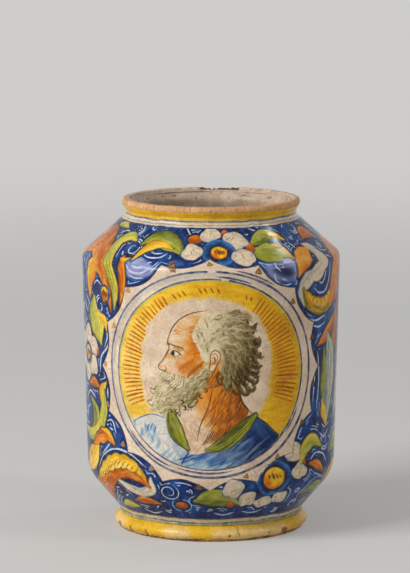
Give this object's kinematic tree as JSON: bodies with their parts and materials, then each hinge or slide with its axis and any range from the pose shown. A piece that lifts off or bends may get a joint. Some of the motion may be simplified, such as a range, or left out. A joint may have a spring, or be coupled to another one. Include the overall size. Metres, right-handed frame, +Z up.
{
  "type": "albarello",
  "caption": "Waisted, bevel-shouldered ceramic drug jar with a thick open lip, flanged foot, glazed inside and out, with a painted oval field on the front.",
  "frame": {"origin": "centre of the plane that the foot rests on", "axes": "+Z up along the axis of the jar, front medallion towards -Y"},
  "size_m": [0.1672, 0.1672, 0.215],
  "materials": {
    "clay": "bare buff-pink earthenware, worn and chipped",
    "inner_glaze": "thin pinkish grey glaze, stained",
    "yellow_glaze": "glossy tin glaze painted in antimony yellow",
    "white_glaze": "glossy pinkish white tin glaze, crazed",
    "blue_glaze": "glossy tin glaze painted in cobalt blue with coloured leaves"
  },
  "bodies": {
    "root": {"foot_ring": "clay", "clay_floor_bevel": "clay", "clay_wall": "clay", "clay_shoulder_neck": "clay", "rim_lip": "clay", "inner_glaze": "inner_glaze", "foot_band_glaze": "yellow_glaze", "cove_band_glaze": "white_glaze", "ground_glaze": "blue_glaze", "medallion_border_glaze": "white_glaze", "medallion_field_glaze": "yellow_glaze", "collar_glaze": "white_glaze", "neck_band_glaze": "yellow_glaze"}
  },
  "joints": []
}
